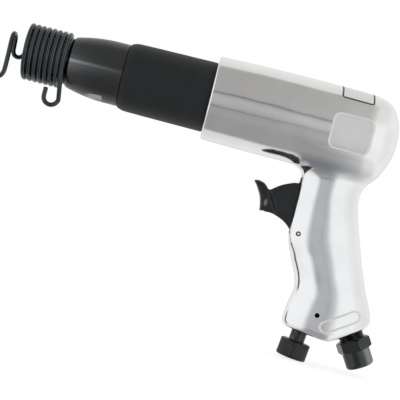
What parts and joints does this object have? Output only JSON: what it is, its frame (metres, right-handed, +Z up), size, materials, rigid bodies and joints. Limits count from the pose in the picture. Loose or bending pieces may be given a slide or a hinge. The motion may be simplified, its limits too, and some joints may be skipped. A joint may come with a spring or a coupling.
{
  "type": "air hammer",
  "caption": "Pistol-grip air hammer with a polished cast housing, black steel barrel, wound chisel retainer spring, trigger, air regulator knob and threaded hose inlet.",
  "frame": {"origin": "centre of the shank bore at the muzzle face of the barrel", "axes": "+X from the muzzle to the rear along the barrel, +Z up with the grip hanging down, +Y to the tool's right-hand side when seen from the rear"},
  "size_m": [0.2707, 0.0542, 0.1716],
  "materials": {
    "aluminium": "polished casting",
    "black_steel": "black oxide, semi-gloss",
    "sleeve": "matt moulded sleeve",
    "spring_steel": "black oxide wire",
    "trigger": "moulded",
    "bright_steel": "ground",
    "brass": "turned",
    "seal": "matt"
  },
  "bodies": {
    "body": {"housing": "aluminium", "barrel": "black_steel", "barrel_sleeve": "sleeve", "barrel_o_ring": "seal", "valve_block": "bright_steel", "valve_cap": "bright_steel", "valve_dowels": "bright_steel", "valve_gasket": "seal", "trigger_pin": "bright_steel", "throttle_bushing": "brass", "throttle_stem_seal": "seal", "throttle_spring": "bright_steel", "regulator_pin": "bright_steel", "inlet_bushing": "black_steel", "inlet_seal": "seal", "inlet_screen": "brass"},
    "piston": {"piston": "bright_steel"},
    "valve_disc": {"valve_disc": "bright_steel"},
    "trigger": {"trigger": "trigger"},
    "throttle_valve": {"throttle_valve": "bright_steel", "throttle_valve_seal": "seal"},
    "regulator": {"air_regulator": "black_steel", "regulator_o_ring": "seal"},
    "retainer": {"retainer_spring": "spring_steel"}
  },
  "joints": [
    {"name": "piston_stroke", "type": "slide", "parent": "body", "child": "piston", "axis": [1, 0, 0], "range_m": [0, 0.078]},
    {"name": "valve_disc_lift", "type": "slide", "parent": "body", "child": "valve_disc", "axis": [1, 0, 0], "range_m": [0, 0.0009]},
    {"name": "trigger_pull", "type": "hinge", "parent": "body", "child": "trigger", "pos_m": [0.1902, 0, -0.06827], "axis": [0, 1, 0], "range_deg": [0, 10], "stiffness_Nm_per_rad": 0.3, "springref_deg": -20.05},
    {"name": "throttle_travel", "type": "slide", "parent": "body", "child": "throttle_valve", "axis": [1, 0, 0], "range_m": [0, 0.0039], "deforming": ["throttle_spring"]},
    {"name": "regulator_turn", "type": "hinge", "parent": "body", "child": "regulator", "pos_m": [0.2069, 0, -0.12637], "axis": [-0.1132, 0, -0.9936], "continuous": true},
    {"name": "retainer_turn", "type": "hinge", "parent": "body", "child": "retainer", "pos_m": [0, 0, 0], "axis": [-1, 0, 0], "range_deg": [0, 180]}
  ],
  "couplings": [
    {"joint": "throttle_travel", "follows": "trigger_pull", "m_per_rad": 0.0218}
  ]
}
